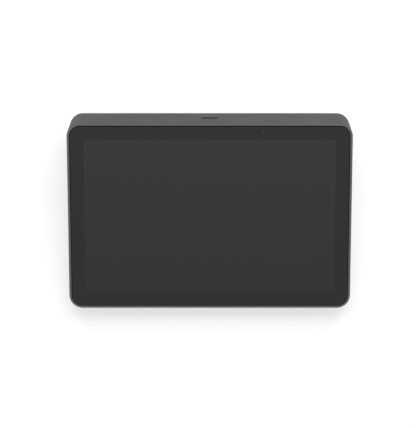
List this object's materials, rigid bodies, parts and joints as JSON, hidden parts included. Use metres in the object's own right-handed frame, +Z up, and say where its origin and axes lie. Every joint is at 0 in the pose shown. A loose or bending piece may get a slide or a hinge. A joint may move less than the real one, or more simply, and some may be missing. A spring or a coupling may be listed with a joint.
{
  "type": "smart display",
  "caption": "Tabletop smart display: a wedge-shaped dark body with a sloping rounded glass screen, a cable bay with a hinged door underneath and rubber feet.",
  "frame": {"origin": "under the middle of the object's bounding box, on the plane that the feet stand on", "axes": "+X across the screen to the right as its user sees it, +Y towards the high rear, +Z up"},
  "size_m": [0.246, 0.171, 0.0555],
  "materials": {
    "graphite_plastic": "fine moulded texture, dark graphite",
    "black_glass": "black-printed, polished",
    "smoked_lens": "smoked, polished",
    "black_rubber": "matte",
    "chip_black": "moulded epoxy",
    "light_guide": "white, satin",
    "steel": "plated sheet",
    "aluminium": "bead-blasted",
    "board_green": "solder mask",
    "flex_amber": "polyimide film",
    "brass": "turned"
  },
  "bodies": {
    "display": {"upper_housing": "graphite_plastic", "base_cover": "graphite_plastic", "cover_glass": "black_glass", "rear_badge": "black_glass", "touch_sensor": "black_glass", "presence_sensor_lens": "smoked_lens", "glass_gasket": "black_rubber", "foot_front_left": "black_rubber", "foot_front_right": "black_rubber", "foot_rear_left": "black_rubber", "foot_rear_right": "black_rubber", "lcd_panel": "chip_black", "processor": "chip_black", "power_inductor": "chip_black", "reset_switch": "chip_black", "audio_jack": "chip_black", "backlight_unit": "light_guide", "thermal_pad": "light_guide", "lcd_rear_tray": "steel", "ballast_plate": "steel", "wifi_shield": "steel", "usb_c_port": "steel", "hdmi_port": "steel", "ethernet_port": "steel", "lock_plate": "steel", "door_pin_left": "steel", "door_pin_right": "steel", "door_magnet": "steel", "clamp_pivot_screw": "steel", "clamp_lock_screw": "steel", "base_screw_1": "steel", "base_screw_2": "steel", "base_screw_3": "steel", "base_screw_4": "steel", "base_screw_5": "steel", "base_screw_6": "steel", "board_screw_1": "steel", "board_screw_2": "steel", "board_screw_3": "steel", "board_screw_4": "steel", "frame_screw_1": "steel", "frame_screw_2": "steel", "frame_screw_3": "steel", "frame_screw_4": "steel", "mid_frame": "aluminium", "heat_sink": "aluminium", "main_board": "board_green", "sensor_board": "board_green", "display_flex": "flex_amber", "touch_flex": "flex_amber", "sensor_flex": "flex_amber", "wifi_antenna": "flex_amber", "mount_insert_1": "brass", "mount_insert_2": "brass", "mount_insert_3": "brass", "mount_insert_4": "brass"},
    "door": {"cable_door": "graphite_plastic"},
    "clamp_bar": {"cable_clamp": "graphite_plastic"},
    "button": {"reset_button": "black_rubber"}
  },
  "joints": [
    {"name": "door_hinge", "type": "hinge", "parent": "display", "child": "door", "pos_m": [0, 0.06903, 0.0032], "axis": [1, 0, 0], "range_deg": [0, 95]},
    {"name": "clamp_pivot", "type": "hinge", "parent": "display", "child": "clamp_bar", "pos_m": [-0.02, 0.06203, 0.0069], "axis": [0, 0, -1], "range_deg": [0, 42]},
    {"name": "reset_press", "type": "slide", "parent": "display", "child": "button", "axis": [0, -1, 0], "range_m": [0, 0.001], "stiffness_N_per_m": 300, "springref_m": -0.001}
  ]
}
